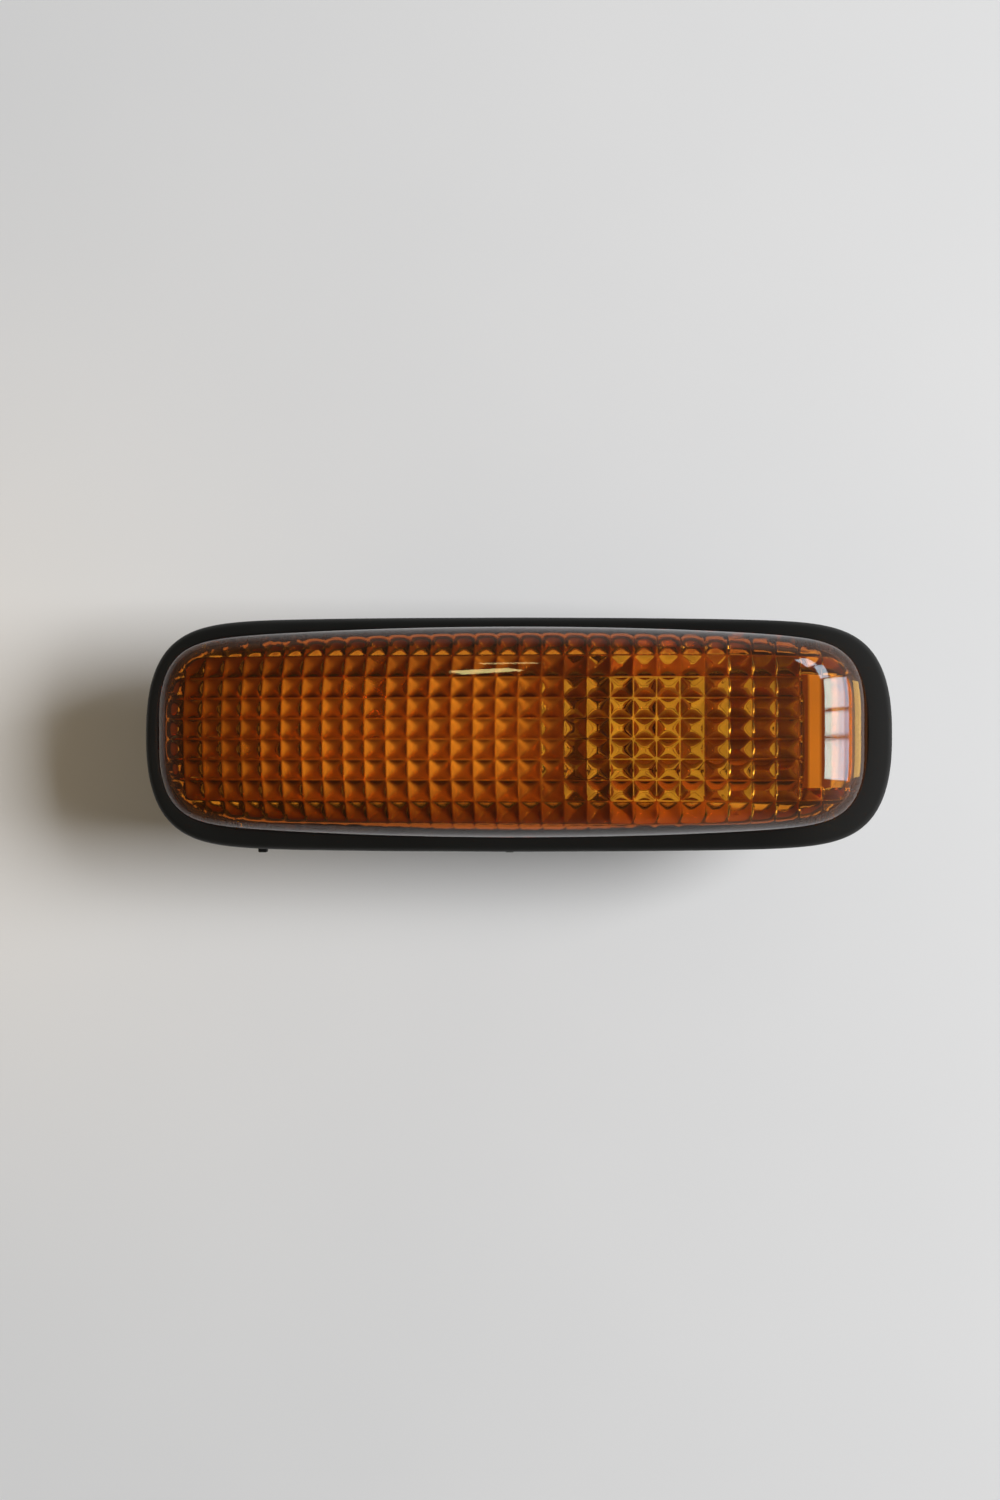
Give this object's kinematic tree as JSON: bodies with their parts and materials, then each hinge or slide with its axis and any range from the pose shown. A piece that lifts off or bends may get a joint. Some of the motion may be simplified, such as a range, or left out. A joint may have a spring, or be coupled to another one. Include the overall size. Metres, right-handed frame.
{
  "type": "turn signal indicator",
  "caption": "Flush-mounted amber turn signal lamp with a black rubber rim, domed pillow-optic lens, wedge bulb in a twist-lock holder, and a hook and spring that snap into a panel.",
  "frame": {"origin": "under the middle of the lamp, on the flat back of the bulb chamber that it stands on", "axes": "+X along the lamp to its tall clear end, +Y across it, +Z out through the lens"},
  "size_m": [0.105, 0.0333, 0.0378],
  "materials": {
    "amber_lens": "clear amber, polished outside",
    "seal_rubber": "matt",
    "rim_rubber": "satin black rubber",
    "black_plastic": "moulded black plastic",
    "bright_metal": "metallised plastic",
    "bulb_glass": "clear glass",
    "tungsten": "drawn wire",
    "lead_wire": "drawn wire",
    "grey_nylon": "moulded grey nylon",
    "contact_brass": "rolled strip",
    "port_rubber": "matt",
    "spring_steel": "rolled strip"
  },
  "bodies": {
    "lamp_body": {"housing": "black_plastic", "lens": "amber_lens", "lens_seal": "seal_rubber", "panel_gasket": "rim_rubber", "reflector": "bright_metal"},
    "holder": {"bulb_holder": "grey_nylon", "contact_feed": "contact_brass", "contact_return": "contact_brass", "holder_seal": "port_rubber"},
    "bulb": {"bulb_glass": "bulb_glass", "bulb_filament": "tungsten", "bulb_lead_feed": "lead_wire", "bulb_lead_return": "lead_wire"},
    "spring": {"retaining_spring": "spring_steel"}
  },
  "joints": [
    {"name": "holder_turn", "type": "hinge", "parent": "lamp_body", "child": "holder", "pos_m": [0.001, 0, 0.0106], "axis": [-1, 0, 0], "range_deg": [0, 45]},
    {"name": "bulb_pull", "type": "slide", "parent": "holder", "child": "bulb", "axis": [1, 0, 0], "range_m": [0, 0.005]},
    {"name": "clip_flex", "type": "hinge", "parent": "lamp_body", "child": "spring", "pos_m": [0.04415, 0, 0.006], "axis": [0, -1, 0], "range_deg": [0, 7], "stiffness_Nm_per_rad": 0.2}
  ]
}
